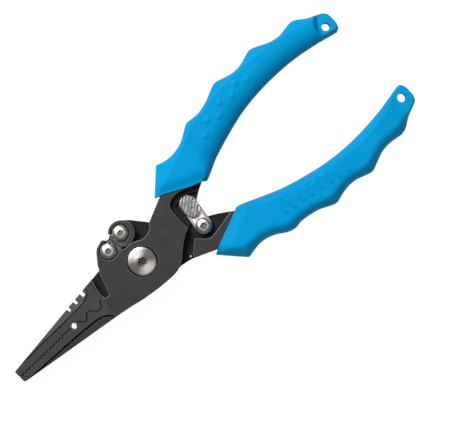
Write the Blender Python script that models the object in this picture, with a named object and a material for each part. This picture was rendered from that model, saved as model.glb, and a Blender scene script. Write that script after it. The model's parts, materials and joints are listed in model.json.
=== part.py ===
"""Fishing pliers: two half-lapped levers with needle jaws, wire cutters, a swing latch and soft grips.

The pliers lie flat on their back with the jaws closed. +X runs from the jaw tips to the handle ends,
+Y to the front lever's handle, and +Z up through the front face. The origin is the middle of the
pliers' footprint. Outlines are drawn in millimetres around the pivot and turned into metres once.
"""
from math import atan2, cos, hypot, pi, radians, sin

import bmesh
import bpy
from mathutils import Matrix, Vector

# ---------------------------------------------------------------- driving dimensions, in millimetres
MM = 0.001
PIVOT_X, PIVOT_Y = -28.4, 2.6  # pivot, measured from the middle of the footprint

GAP = 0.3  # clearance between pieces that fit each other
GRIP_BACK, GRIP_FRONT = 0.0, 14.0  # heights of the grips' flat faces
METAL_BACK, METAL_FRONT = 2.0, 12.0  # heights of the levers' flat faces
LAP_BACK, LAP_FRONT = 6.85, 7.15  # the two halves of the lap joint face each other here
LAP_RADIUS = 21.1  # beyond this radius each lever has its full thickness
PLATE_RADIUS = 17.45  # radius of each half-lap plate

JAW_TIP_X = -67.1
JAW_TAPER_X = -22.0  # the jaws thin from here to the tip
TIP_THICKNESS = 5.5
TOOTH_PITCH, TOOTH_HEIGHT = 1.65, 0.35
TEETH_FROM_X, TEETH_COUNT = -66.5, 14
JAW_LEDGE = 0.45  # the front lever's jaw steps this far under the other jaw, so no light shows through
LEDGE_THICKNESS = 1.2
WIRE_HOLE = (-37.6, 0.0, 1.3)  # x, y, radius
CRIMP_LOBES = ((-32.6, 1.8), (-25.7, 2.4))  # x and radius of each half-round crimping lobe

PARTING_ANGLE = 102.5  # the ray on which the two cutter blades meet
FRONT_CUTTER = (-6.95, 12.2)  # screw centre of the blade on the front lever
BACK_CUTTER = (1.45, 14.2)  # screw centre of the blade on the back lever
BOSS_CENTRE = (1.55, 13.85)  # middle of the round boss that carries the back lever's blade
CUTTER_POCKET_FLOOR = 8.9
BLADE_RADIUS, BLADE_THICKNESS = 3.5, 1.4
BOSS_RADIUS = 5.2

OPENING_STOP = 26.0  # degrees at which the front lever's shoulder meets the boss
SHOULDER_RADIUS = 5.55  # clearance circle that the boss needs as the lever opens

LATCH_AXIS = (27.45, -6.5)
LATCH_ANGLE = 82.4  # direction of the closed latch
LATCH_LENGTH, LATCH_WIDTH = 10.65, 7.1
LATCH_FLOOR = 9.0  # height of the recess under the latch
LATCH_BACK, LATCH_FRONT = 9.9, 12.0
PEG_DISTANCE, PEG_RADIUS = 12.4, 1.1

PEG_BACK = 7.9
PAD_DISTANCE, PAD_HALF_LENGTH, PAD_HALF_WIDTH, PAD_FRONT = 9.1, 4.8, 3.4, 13.9
PAD_GROOVES, PAD_RIB_PITCH, PAD_RIB_ANGLE = 7, 1.05, 37.0
BUSH = (1.8, 2.4)  # inner and outer radius

HEAD_RADIUS = 6.0
HEAD_SEAT = 11.0  # floor of the counterbore under the pivot screw's head
NUT_SEAT = 3.4  # floor of the counterbore around the barrel nut's flange
SCREW_TIP = 4.6
PIVOT_HOLE, BARREL_RADIUS = 3.3, 3.0
HEAD_WASHER = (3.3, 5.6)  # inner and outer radius
LAP_WASHER = (3.4, 4.4)
SCREW_HOLE = 1.75  # radius of the holes for the small screws

SPRING_RADIUS, SPRING_WIRE, SPRING_TURNS = 6.45, 0.45, 3
SPRING_WELL, SPRING_WELL_DEPTH = (5.4, 7.5), 2.35
SPRING_LEG = 9.4  # reach of the spring's straight legs from the pivot
LEG_SLOT_REACH, LEG_SLOT_HALF_WIDTH = SPRING_LEG + 0.6, 0.8
JAW_TRAVEL = 24  # degrees that the jaws open
SPRING_BACK_ANGLE, SPRING_FRONT_ANGLE = -50, 20
ANCHOR_PIN, ANCHOR_PIN_RADIUS = (15.3, -11.9), 0.55

STRIP_LINE_Y, STRIP_SLOPE, STRIP_DROP = 3.4, 7.0, 0.4  # the jaws' faces step down outside this line
CREASE_DEPTH = 1.0  # depth of the groove along the step
FRONT_LANYARD = (117.05, 17.4, 1.7)  # x, y, radius
BACK_LANYARD = (119.6, -23.8, 1.85)
TAB_SCOOP_RADIUS, TAB_SCOOP_SHIFT, TAB_DEPTH = 5.2, 1.0, 3.0


# ---------------------------------------------------------------- outlines
def polar(radius, degrees, centre=(0.0, 0.0)):
    return (centre[0] + radius * cos(radians(degrees)), centre[1] + radius * sin(radians(degrees)))


def arc(centre, radius, start, end, steps):
    """Points on an arc from start to end degrees, both ends included."""
    return [polar(radius, start + (end - start) * i / steps, centre) for i in range(steps + 1)]


def circle(centre, radius, steps=24):
    return arc(centre, radius, 0, 360, steps)[:-1]


def smooth(points, per_span=3):
    """An open Catmull-Rom curve through the points."""
    ends = [points[0], *points, points[-1]]
    result = []
    for a, b, c, d in zip(ends, ends[1:], ends[2:], ends[3:]):
        for step in range(per_span):
            t = step / per_span
            result.append(tuple(
                0.5 * (2 * q + (r - p) * t + (2 * p - 5 * q + 4 * r - s) * t ** 2
                       + (3 * q - p - 3 * r + s) * t ** 3)
                for p, q, r, s in zip(a, b, c, d)
            ))
    return result + [points[-1]]


def hull(points):
    """The convex outline around a set of points."""
    ordered = sorted(set(points))
    sides = []
    for run in (ordered, ordered[::-1]):
        side = []
        for point in run:
            while len(side) > 1:
                (ax, ay), (bx, by) = side[-2], side[-1]
                if (bx - ax) * (point[1] - ay) - (by - ay) * (point[0] - ax) > 0:
                    break
                side.pop()
            side.append(point)
        sides += side[:-1]
    return sides


def grown(outline, distance):
    """Move each side of a closed outline outwards (inwards if negative) by a distance."""
    area = sum(a[0] * b[1] - b[0] * a[1] for a, b in zip(outline, outline[1:] + outline[:1]))
    sign = 1 if area > 0 else -1
    result = []
    for i, corner in enumerate(outline):
        here = Vector(corner)
        into = (here - Vector(outline[i - 1])).normalized()
        out = (Vector(outline[(i + 1) % len(outline)]) - here).normalized()
        normals = [Vector((d.y, -d.x)) * sign for d in (into, out)]
        middle = (normals[0] + normals[1]).normalized()
        miter = distance / max(0.5, middle.dot(normals[0]))
        point = here + middle * miter
        result.append((point.x, point.y))
    return result


# ---------------------------------------------------------------- solids
def to_object(name, mesh_builder):
    bmesh.ops.remove_doubles(mesh_builder, verts=mesh_builder.verts, dist=1e-7)
    bmesh.ops.recalc_face_normals(mesh_builder, faces=mesh_builder.faces)
    mesh = bpy.data.meshes.new(name)
    mesh_builder.to_mesh(mesh)
    mesh_builder.free()
    solid = bpy.data.objects.new(name, mesh)
    bpy.context.collection.objects.link(solid)
    return solid


def loft(sections, name="tool"):
    """A solid through closed outlines of equal length, each given with its height."""
    builder = bmesh.new()
    rings = [
        [builder.verts.new((x * MM, y * MM, height * MM)) for x, y in outline]
        for outline, height in sections
    ]
    builder.faces.new(rings[0])
    builder.faces.new(rings[-1])
    for lower, upper in zip(rings, rings[1:]):
        for i in range(len(lower)):
            builder.faces.new((lower[i - 1], lower[i], upper[i], upper[i - 1]))
    return to_object(name, builder)


def prism(outline, bottom, top, name="tool"):
    return loft([(outline, bottom), (outline, top)], name)


def turned(profile, centre=(0.0, 0.0), sides=32, name="tool"):
    """A solid turned about +Z from a closed profile of (radius, height) points."""
    builder = bmesh.new()
    rings = []
    for radius, height in profile:
        count = sides if radius > 0 else 1
        rings.append([
            builder.verts.new((
                (centre[0] + radius * cos(2 * pi * i / sides)) * MM,
                (centre[1] + radius * sin(2 * pi * i / sides)) * MM,
                height * MM,
            ))
            for i in range(count)
        ])
    for ring, following in zip(rings, rings[1:] + rings[:1]):
        for i in range(sides):
            corners = [ring[i % len(ring)], ring[(i + 1) % len(ring)],
                       following[(i + 1) % len(following)], following[i % len(following)]]
            distinct = list(dict.fromkeys(corners))
            if len(distinct) > 2:
                builder.faces.new(distinct)
    return to_object(name, builder)


def rod(centre, radius, bottom, top, sides=24, name="tool"):
    return turned([(0, bottom), (radius, bottom), (radius, top), (0, top)], centre, sides, name)


def combine(body, tool, operation):
    """Apply an exact Boolean of the tool to the body and remove the tool."""
    modifier = body.modifiers.new(operation.title(), "BOOLEAN")
    modifier.object = tool
    modifier.operation = operation
    modifier.solver = "EXACT"
    evaluated = body.evaluated_get(bpy.context.evaluated_depsgraph_get())
    result = bpy.data.meshes.new_from_object(evaluated)
    body.modifiers.clear()
    body.data = result
    bpy.data.objects.remove(tool)


def cut(body, *tools):
    for tool in tools:
        combine(body, tool, "DIFFERENCE")


def weld(body, *tools):
    for tool in tools:
        combine(body, tool, "UNION")


def block(x, y, z, turn=None):
    """A box from ranges of x, y and z, turned about a point by a matrix if one is given."""
    outline = [(x[0], y[0]), (x[1], y[0]), (x[1], y[1]), (x[0], y[1])]
    solid = prism(outline, z[0], z[1])
    if turn is not None:
        solid.data.transform(turn)
    return solid


def about(point, axis, degrees):
    """A rotation about an axis through a point in millimetres."""
    place = Matrix.Translation(Vector(point) * MM)
    return place @ Matrix.Rotation(radians(degrees), 4, axis) @ place.inverted()


# ---------------------------------------------------------------- frames and finishes
def frame_at(name, x, y, parent=None):
    """An empty on a joint's axis; x and y are millimetres from the pivot."""
    empty = bpy.data.objects.new(name, None)
    empty.empty_display_size = 0.01
    bpy.context.collection.objects.link(empty)
    if parent is None:
        empty.location = ((PIVOT_X + x) * MM, (PIVOT_Y + y) * MM, 0)
    else:
        empty.parent = parent
        empty.location = (x * MM, y * MM, 0)
    return empty


def finish(solid, name, frame, material, centre=(0.0, 0.0)):
    """Name a piece, hang it on its frame and shade it; centre is the frame's axis in millimetres."""
    solid.name = name
    solid.data.name = name
    solid.data.transform(Matrix.Translation(Vector((-centre[0], -centre[1], 0)) * MM))
    solid.parent = frame
    solid.data.materials.clear()
    solid.data.materials.append(material)
    solid.data.shade_smooth()
    solid.data.set_sharp_from_angle(angle=radians(32))


def paint(name, colour, roughness, metallic):
    material = bpy.data.materials.new(name)
    material.use_nodes = True
    shader = material.node_tree.nodes["Principled BSDF"]
    shader.inputs["Base Color"].default_value = (*colour, 1)
    shader.inputs["Roughness"].default_value = roughness
    shader.inputs["Metallic"].default_value = metallic
    material.diffuse_color = (*colour, 1)
    return material


# ---------------------------------------------------------------- levers
def beside_ray(distance, offset):
    """A point along the cutters' parting ray, offset towards the front lever's side if positive."""
    x, y = polar(distance, PARTING_ANGLE)
    return (x - offset * sin(radians(PARTING_ANGLE)), y + offset * cos(radians(PARTING_ANGLE)))


def parting_line(side, reach=0.0):
    """The jaws' meeting edge from tip to root: side 1 is the back lever's jaw, -1 the front lever's.

    Reach moves the whole edge towards the back lever's jaw, lobes and pockets included.
    """
    shift = side * GAP / 2 + reach
    points = [(JAW_TIP_X, shift)]
    for i in range(2 * TEETH_COUNT + 1):
        points.append((TEETH_FROM_X + i * TOOTH_PITCH / 2, TOOTH_HEIGHT * (-1) ** i + shift))
    for x, radius in CRIMP_LOBES:
        if side > 0:
            points += arc((x, shift), radius - reach, 180, 360, 8)
        else:
            pocket = radius + GAP - reach
            dip = atan2(GAP, pocket) * 180 / pi
            points += arc((x, GAP / 2 + reach), pocket, 180 + dip, 360 - dip, 8)
    return points


def front_handle():
    """The front lever's handle from neck to tang end and back along its inner edge."""
    outer = [(22.5, 13.7), (30, 17.2), (40, 19.8), (60, 23.2), (75, 25.0), (90, 25.2), (104, 23.6)]
    inner = [(100, 20.4), (90, 21.1), (80, 20.8), (70, 19.5), (60, 17.2), (50, 14.2), (44, 11.4)]
    return [
        (20, 12.6), *smooth(outer, 2),
        (107.6, 22.4), (108.2, 21.4), (107.0, 20.2),
        *smooth(inner, 2), (40.6, 8.7), (38.6, 6.6), (35.3, 4.9), (32.5, 3.0), (31.4, 0.9), (29.4, -1.0),
    ]


def front_lever_outline():
    """Clockwise from the jaw tip: jaw edge, plate, cutter holder, shoulder, tang, latch end, belly."""
    boss_reach = hypot(*BOSS_CENTRE)
    boss_angle = atan2(BOSS_CENTRE[1], BOSS_CENTRE[0]) * 180 / pi
    open_angle = boss_angle - OPENING_STOP
    return [
        *parting_line(-1),
        (-20.95, -GAP / 2), (-20.95, 0.5), (-20.7, 0.5), (-20.7, -0.8), (-18.35, -0.8), (-18.0, 1.0),
        *arc((0, 0), PLATE_RADIUS, 169, 147, 6),
        (-14.0, 10.9), (-10.9, 14.9), (-9.7, 16.0), (-6.4, 17.1), (-5.6, 16.9), (-5.0, 15.9),
        beside_ray(16.2, 0.5),
        beside_ray(9.0, 0.5),
        *arc((0, 0), boss_reach - SHOULDER_RADIUS, 99, open_angle, 8),
        *arc(polar(boss_reach, open_angle), SHOULDER_RADIUS, open_angle + 185, open_angle + 272, 8),
        (12.8, 9.35),
        *front_handle(),
        (25.0, -2.2),
        *smooth([(21.8, -3.2), (20.5, -3.7), (18.0, -5.2), (15.0, -7.6), (12.5, -9.9), (10.0, -11.5),
                 (8.0, -12.3), (5.0, -12.7), (0, -12.5), (-5, -12.0)], 2),
        (-10, -11.3), (-15, -10.2), (-22, -9.0),
        (-66.3, -2.8), (-67.0, -2.3),
    ]


def back_handle():
    """The back lever's handle from neck to tang end and back along its inner edge."""
    outer = [(24.5, -17.0), (31, -20.2), (40, -23.2), (60, -28.0), (75, -30.2), (90, -31.2), (104, -29.9)]
    inner = [(102, -26.0), (90, -26.4), (80, -25.6), (70, -23.8), (60, -21.2), (50, -17.4), (44, -14.6)]
    return [
        (20, -15.0), *smooth(outer, 2),
        (110.0, -28.6), (110.8, -27.4), (109.6, -26.3),
        *smooth(inner, 2), (41.6, -12.9), (40.4, -10.7), (38, -9.0), (35, -7.0), (31.4, -5.0), (29.4, -3.1),
    ]


def back_lever_outline():
    """Anticlockwise from the jaw tip: jaw edge, plate, belly, tang, latch end, boss, notched jaw back."""
    notches = []
    for right, left, floor in ((-25.5, -27.4, 5.9), (-29.9, -31.5, 5.6), (-33.9, -35.4, 5.3)):
        notches += [(right, jaw_back(right)), (right, floor), (left, floor), (left, jaw_back(left))]
    return [
        *parting_line(1),
        (0.25 - LAP_RADIUS, GAP / 2), (0.3 - LAP_RADIUS, -1.6),
        *arc((0, 0), PLATE_RADIUS, 186, 205, 5),
        (-12, -9.6), (-6, -11.2), (0, -12.0), (6, -12.2), (10, -12.0), (13, -12.5), (15, -13.0),
        (17, -13.8),
        *back_handle(),
        (27.0, -2.7), (25.9, -1.5), (24.6, 0.0),
        *arc((0, 0), LAP_RADIUS - 0.4, 0, 12, 3),
        *arc((0, 0), 15.7, 22, 37, 3),
        (7.4, 15.6),
        *arc(BOSS_CENTRE, BOSS_RADIUS, 42, 135, 14),
        (-2.6, 17.1), (-2.0, 16.5), (-4.2, 15.6), (-7, 14.4), (-11, 11.9), (-15, 9.2), (-20, 8.55),
        *notches,
        (-66.9, 3.0), (-67.1, 2.5),
    ]


def jaw_back(x):
    """Height of the upper jaw's outer edge at x."""
    return 6.7 + (x + 35.6) * 0.118


def blade_outline(cutter, side, spare):
    """A cutter blade from the front: a disc drawn out to the parting ray, grown by a spare gap."""
    edge = side * (GAP / 2 - spare)
    corners = [beside_ray(9.6 - spare, edge), beside_ray(15.8 + spare, edge)]
    return hull(circle(cutter, BLADE_RADIUS + spare) + corners)


def boss_outline():
    """The back lever's cutter boss: a disc cut straight along the parting ray.

    It is drawn slightly large, because the lever's own outline trims its outer side.
    """
    left = (-sin(radians(PARTING_ANGLE)), cos(radians(PARTING_ANGLE)))
    points = []
    for x, y in circle(BOSS_CENTRE, BOSS_RADIUS + 0.2, 40):
        over = max(0.0, x * left[0] + y * left[1] + 0.5)
        points.append((x - over * left[0], y - over * left[1]))
    return hull(points)


def band_along(line, near, far):
    """A closed band along an open line, between two distances to its left."""
    sides = ([], [])
    for i, point in enumerate(line):
        ahead = Vector(line[min(i + 1, len(line) - 1)]) - Vector(line[max(i - 1, 0)])
        ahead.normalize()
        for side, width in zip(sides, (near, far)):
            side.append((point[0] - ahead.y * width, point[1] + ahead.x * width))
    return [*sides[0], *reversed(sides[1])]


def shape_jaw(lever, side, crease, outside, groove_width):
    """Thin one jaw towards its tip, and step it down outside its crease, on both faces."""
    length = JAW_TAPER_X - JAW_TIP_X
    slope = atan2((METAL_FRONT - METAL_BACK - TIP_THICKNESS) / 2, length) * 180 / pi
    for face, level in ((1, METAL_FRONT), (-1, METAL_BACK)):
        tilt = about((JAW_TAPER_X, 0, level), "Y", -face * slope)
        cut(lever, block((-95, JAW_TAPER_X), (-30, 30), (level, level + face * 10), tilt))
        lean = about((0, side * STRIP_LINE_Y, level - face * STRIP_DROP), "X", -side * face * STRIP_SLOPE)
        strip = prism([*crease, *outside], level - face * STRIP_DROP, level + face * 10)
        strip.data.transform(tilt @ lean)
        band = band_along(crease, side * -0.1, side * (groove_width - 0.1))
        groove = prism(band, level - face * CREASE_DEPTH, level + face * 10)
        groove.data.transform(tilt)
        cut(lever, groove, strip)
    x, y, radius = WIRE_HOLE
    cut(lever, rod((x, y), radius, 0, METAL_FRONT + 2, 20))


def peg_groove(centre, distance, start, end):
    """A curved groove for the latch peg, cut down from the floor of the latch recess."""
    reach = PEG_RADIUS + 0.35
    outline = arc(centre, distance + reach, start, end, 10) + arc(centre, distance - reach, end, start, 10)
    return prism(outline, PEG_BACK - 0.4, LATCH_FLOOR + 1)


def ring(inner, outer, bottom, top, centre=(0.0, 0.0), sides=32, name="tool"):
    profile = [(inner, bottom), (outer, bottom), (outer, top), (inner, top)]
    return turned(profile, centre, sides, name)


def spring_slot(angle, travel, bottom, top):
    """A pocket for one leg of the opening spring, with room for it to trail through the travel."""
    inner = atan2(LEG_SLOT_HALF_WIDTH, SPRING_RADIUS) * 180 / pi
    outer = atan2(LEG_SLOT_HALF_WIDTH, LEG_SLOT_REACH) * 180 / pi
    near = hypot(SPRING_RADIUS, LEG_SLOT_HALF_WIDTH)
    far = hypot(LEG_SLOT_REACH, LEG_SLOT_HALF_WIDTH)
    return prism([
        polar(near, angle - travel - inner),
        *arc((0, 0), far, angle - travel - outer, angle + outer, 2 + travel // 4),
        polar(near, angle + inner),
    ], bottom, top)


def make_front_lever():
    lever = prism(front_lever_outline(), METAL_BACK, METAL_FRONT)
    tongue = [(19, -6), (19, 0.4), (24.9, 0.4), (26.2, -1.3), (27.4, -2.3), (27.4, -6)]
    cut(
        lever,
        rod((0, 0), LAP_RADIUS, METAL_BACK - 2, LAP_FRONT, 96),
        prism(tongue, METAL_BACK - 2, LAP_FRONT),
    )
    ledge = [*parting_line(-1, JAW_LEDGE), (-21.15, JAW_LEDGE - GAP / 2), (-21.15, -3.4), (-66.8, -1.0)]
    weld(lever, prism(ledge, LAP_BACK - LEDGE_THICKNESS, LAP_BACK))
    crease = [(-95, -2.7), (-60, -3.0), (-45, -3.4), (-36, -3.8),
              *smooth([(-30, -4.3), (-27, -4.9), (-24.6, -6.2), (-22.6, -8.6), (-21.4, -12)], 4)]
    shape_jaw(lever, -1, crease, [(-21.4, -25), (-95, -25)], 0.7)
    recess = [
        (22.1, -6),
        *smooth([(22.1, 4.5), (22.3, 6.5), (23, 8.3), (24.5, 9.5), (27, 10.1), (30, 9.8), (33, 8.8),
                 (36, 7.5), (38.9, 6.4)], 3),
        (42, 4), (42, -6),
    ]
    peg = polar(PEG_DISTANCE, LATCH_ANGLE, LATCH_AXIS)
    peg_angle = atan2(peg[1], peg[0]) * 180 / pi
    cut(
        lever,
        prism(recess, LATCH_FLOOR, METAL_FRONT + 2),
        peg_groove(LATCH_AXIS, PEG_DISTANCE, 104, 45),
        peg_groove((0, 0), hypot(*peg), peg_angle, peg_angle - 16),
        rod((0, 0), PIVOT_HOLE, LAP_FRONT - 2, METAL_FRONT + 2),
        rod((0, 0), HEAD_RADIUS + GAP, HEAD_SEAT, METAL_FRONT + 2, 40),
        ring(SPRING_WELL[0], SPRING_WELL[1], LAP_FRONT - 1, LAP_FRONT + SPRING_WELL_DEPTH),
        spring_slot(SPRING_FRONT_ANGLE, JAW_TRAVEL, LAP_FRONT - 1, LAP_FRONT + SPRING_WELL_DEPTH),
        prism(blade_outline(FRONT_CUTTER, 1, GAP), CUTTER_POCKET_FLOOR, METAL_FRONT + 2),
        rod(FRONT_CUTTER, SCREW_HOLE, LAP_FRONT - 2, METAL_FRONT),
    )
    return lever


def make_back_lever():
    lever = prism(back_lever_outline(), METAL_BACK, METAL_FRONT)
    step = [
        *arc((0, 0), LAP_RADIUS, 95, 250, 34),
        (14.6, -17), (16.7, -11.7), (20.6, -8.6), (21.5, -7.4), (22.2, -5.2), (22.9, -4.0),
        (25.0, -2.9), (27.2, -2.9), (27.2, 8), (20, 24), (5, 26),
    ]
    under_jaw = [*parting_line(1, JAW_LEDGE), (-20.85, JAW_LEDGE + GAP / 2), (-20.85, -4), (-70, -4),
                 (-70, JAW_LEDGE + GAP / 2)]
    cut(lever, prism(under_jaw, LAP_BACK - LEDGE_THICKNESS - GAP, LAP_FRONT))
    clearing = prism(step, LAP_BACK, METAL_FRONT + 2)
    cut(clearing, prism(boss_outline(), LAP_BACK - 1, METAL_FRONT + 3))
    cut(lever, clearing)
    crease = [(-95, 3.1), (-60, 3.3), (-45, 3.5), (-36, 3.6),
              *smooth([(-30, 3.8), (-27.2, 4.3), (-25.2, 5.3), (-24.0, 7.0), (-23.4, 9.5)], 4)]
    shape_jaw(lever, 1, crease, [(-23.4, 25), (-95, 25)], 0.35)
    recess = [
        (20.0, -1.0), (20.0, -6.9), (22, -8.4),
        *smooth([(23, -9.4), (24, -10.5), (26, -11.8), (27.5, -12.0), (30, -11.6), (35, -10.6),
                 (39.5, -9.6)], 3),
        (43, -6), (43, -1.0),
    ]
    cut(
        lever,
        prism(recess, LATCH_FLOOR, METAL_FRONT + 2),
        rod((0, 0), PIVOT_HOLE, METAL_BACK - 1, LAP_BACK + 1),
        rod((0, 0), HEAD_RADIUS + GAP, METAL_BACK - 1, NUT_SEAT, 40),
        rod((0, 0), LAP_WASHER[1] + GAP, LAP_BACK - 0.7, LAP_BACK + 1),
        ring(SPRING_WELL[0], SPRING_WELL[1], LAP_BACK - SPRING_WELL_DEPTH, LAP_BACK + 1),
        spring_slot(SPRING_BACK_ANGLE, 0, LAP_BACK - SPRING_WELL_DEPTH, LAP_BACK + 1),
        prism(blade_outline(BACK_CUTTER, -1, GAP), CUTTER_POCKET_FLOOR, METAL_FRONT + 2),
        rod(BACK_CUTTER, SCREW_HOLE, 3.5, METAL_FRONT),
        rod(LATCH_AXIS, SCREW_HOLE, 3.5, METAL_FRONT),
        rod(ANCHOR_PIN, ANCHOR_PIN_RADIUS + 0.15, METAL_BACK + 1.3, LAP_BACK + 1, 16),
    )
    return lever


# ---------------------------------------------------------------- grips
def make_grip(outline, tang, hole):
    """A hollow grip with soft edges, closed around the tang, and a thin end with a lanyard hole."""
    centre_x, centre_y, radius = hole
    grip = loft([
        (grown(outline, -1.6), GRIP_BACK),
        (grown(outline, -0.5), GRIP_BACK + 1.1),
        (outline, GRIP_BACK + 3.2),
        (outline, GRIP_FRONT - 3.2),
        (grown(outline, -0.5), GRIP_FRONT - 1.1),
        (grown(outline, -1.6), GRIP_FRONT),
    ])
    scoop = (centre_x + TAB_SCOOP_SHIFT, centre_y)
    cut(
        grip,
        prism(grown(tang, GAP), METAL_BACK - GAP, METAL_FRONT + GAP),
        rod((centre_x, centre_y), radius, GRIP_BACK - 1, GRIP_FRONT + 1),
        rod(scoop, TAB_SCOOP_RADIUS, GRIP_FRONT - TAB_DEPTH, GRIP_FRONT + 2),
        rod(scoop, TAB_SCOOP_RADIUS, GRIP_BACK - 2, GRIP_BACK + TAB_DEPTH),
    )
    return grip


def make_front_grip():
    outer = smooth([
        (29.8, 23.6), (36.5, 22.6), (43, 23.8), (50.3, 27.8), (56, 27.6), (63, 29.2), (69.7, 31.8),
        (76, 30.0), (82, 30.0), (88.5, 31.9), (94, 29.6), (101, 27.7), (108.3, 28.5), (113, 25.8),
        (118, 23.3),
    ])
    inner = smooth([
        (118.8, 12.9), (110, 14.9), (100, 16.6), (90, 17.2), (80, 16.9), (70, 15.6), (60, 13.0),
        (50, 9.6), (44, 6.9),
    ])
    outline = [(20.6, 14.8), *outer, (120.9, 21.2), (121.5, 18.0), (121.0, 14.2), *inner,
               (40.6, 5.7), (38.6, 7.0), (35, 8.2), (30, 10.7), (25, 13.3)]
    return make_grip(outline, [(14, 9), *front_handle(), (20, 1)], FRONT_LANYARD)


def make_back_grip():
    outer = smooth([
        (32.0, -27.9), (38.5, -27.2), (45, -28.6), (53.5, -32.4), (60, -32.5), (67, -34.6),
        (72.5, -36.4), (80, -34.9), (86, -35.8), (91.3, -37.1), (97, -35.0), (104, -33.8),
        (110, -34.5), (115, -32.2), (120, -29.8),
    ])
    inner = smooth([
        (121.5, -19.5), (110, -21.5), (100, -22.5), (90, -22.7), (80, -21.8), (70, -19.8),
        (60, -17.0), (50, -13.0), (45, -10.9),
    ])
    outline = [(22.9, -18.3), *outer, (123.3, -27.6), (123.9, -24.5), (123.4, -20.4), *inner,
               (42.4, -10.2), (40.2, -10.9), (35, -13.2), (30, -15.1), (25.5, -17.0)]
    return make_grip(outline, [(14, -10), *back_handle(), (20, -2)], BACK_LANYARD)


# ---------------------------------------------------------------- pivot and spring
def lobed(radius, lobes, depth, steps=8):
    """The outline of a star-shaped driver recess."""
    count = lobes * steps
    return [polar(radius - depth * (0.5 - 0.5 * cos(2 * pi * i / steps)), 360 * i / count)
            for i in range(count)]


def make_pivot_screw():
    head = HEAD_SEAT + 0.8
    screw = turned([
        (0, SCREW_TIP), (1.5, SCREW_TIP), (1.5, head), (HEAD_RADIUS, head), (HEAD_RADIUS, head + 1.0),
        (HEAD_RADIUS - 0.5, head + 1.45), (0, head + 1.6),
    ], sides=40)
    cut(screw, prism(lobed(1.75, 6, 0.45), head + 0.3, head + 3))
    return screw


def make_barrel_nut():
    """The threaded barrel that the levers turn on, put in from the back."""
    back = NUT_SEAT - 1.8
    nut = turned([
        (0, back), (5.4, back), (5.8, back + 0.4), (5.8, back + 1.0), (BARREL_RADIUS, back + 1.0),
        (BARREL_RADIUS, HEAD_SEAT - 0.2), (SCREW_HOLE, HEAD_SEAT - 0.2), (SCREW_HOLE, SCREW_TIP - 0.6),
        (0, SCREW_TIP - 0.6),
    ], sides=40)
    cut(nut, prism(circle((0, 0), 2.3, 6), back - 1, back + 0.6))
    return nut


def make_opening_spring():
    """A torsion spring around the barrel with a straight leg into each lever."""
    sides, steps_per_turn = 8, 20
    sweep = 360 * SPRING_TURNS + SPRING_FRONT_ANGLE - SPRING_BACK_ANGLE
    low = LAP_BACK - SPRING_WELL_DEPTH + 0.3 + SPRING_WIRE
    high = LAP_FRONT + SPRING_WELL_DEPTH - 0.3 - SPRING_WIRE
    count = int(sweep / 360 * steps_per_turn)
    route = [(*polar(SPRING_LEG, SPRING_BACK_ANGLE), low)]
    for i in range(count + 1):
        t = i / count
        route.append((*polar(SPRING_RADIUS, SPRING_BACK_ANGLE + sweep * t), low + (high - low) * t))
    route.append((*polar(SPRING_LEG, SPRING_FRONT_ANGLE), high))
    builder = bmesh.new()
    rings = []
    for i, point in enumerate(route):
        before = Vector(route[max(i - 1, 0)])
        after = Vector(route[min(i + 1, len(route) - 1)])
        along = (after - before).normalized()
        across = along.cross(Vector((0, 0, 1))).normalized()
        upward = across.cross(along)
        rings.append([
            builder.verts.new((Vector(point) + (across * cos(2 * pi * k / sides)
                                                + upward * sin(2 * pi * k / sides)) * SPRING_WIRE) * MM)
            for k in range(sides)
        ])
    builder.faces.new(rings[0])
    builder.faces.new(rings[-1])
    for lower, upper in zip(rings, rings[1:]):
        for k in range(sides):
            builder.faces.new((lower[k - 1], lower[k], upper[k], upper[k - 1]))
    return to_object("spring", builder)


def make_button_screw(centre, seat, tip, radius, height):
    """A domed screw with a hexagon socket; the seat is the underside of its head."""
    x, y = centre
    dome = [(radius * cos(radians(a)), seat + 0.25 * height + 0.75 * height * sin(radians(a)))
            for a in (0, 18, 36, 54, 72)]
    screw = turned([(0, tip), (1.5, tip), (1.5, seat), (radius, seat), *dome, (0, seat + height)],
                   centre, 32)
    cut(screw, prism(circle(centre, 1.25, 6), seat + 0.35 * height, seat + 2 * height))
    return screw


# ---------------------------------------------------------------- latch
def along_latch(distance, sideways=0.0):
    """A point on the closed latch, measured from its screw."""
    return polar(sideways, LATCH_ANGLE - 90, polar(distance, LATCH_ANGLE, LATCH_AXIS))


def make_latch_plate():
    half = LATCH_WIDTH / 2
    outline = (arc(LATCH_AXIS, half, LATCH_ANGLE + 90, LATCH_ANGLE + 270, 14)
               + arc(along_latch(LATCH_LENGTH), half, LATCH_ANGLE - 90, LATCH_ANGLE + 90, 14))
    plate = loft([
        (outline, LATCH_BACK), (outline, LATCH_FRONT - 0.3), (grown(outline, -0.3), LATCH_FRONT),
    ])
    cut(
        plate,
        rod(LATCH_AXIS, BUSH[1] + 0.2, LATCH_BACK - 1, LATCH_FRONT + 1),
        rod(along_latch(PEG_DISTANCE), PEG_RADIUS + 0.2, LATCH_BACK - 1, LATCH_FRONT + 1, 20),
    )
    return plate


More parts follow.
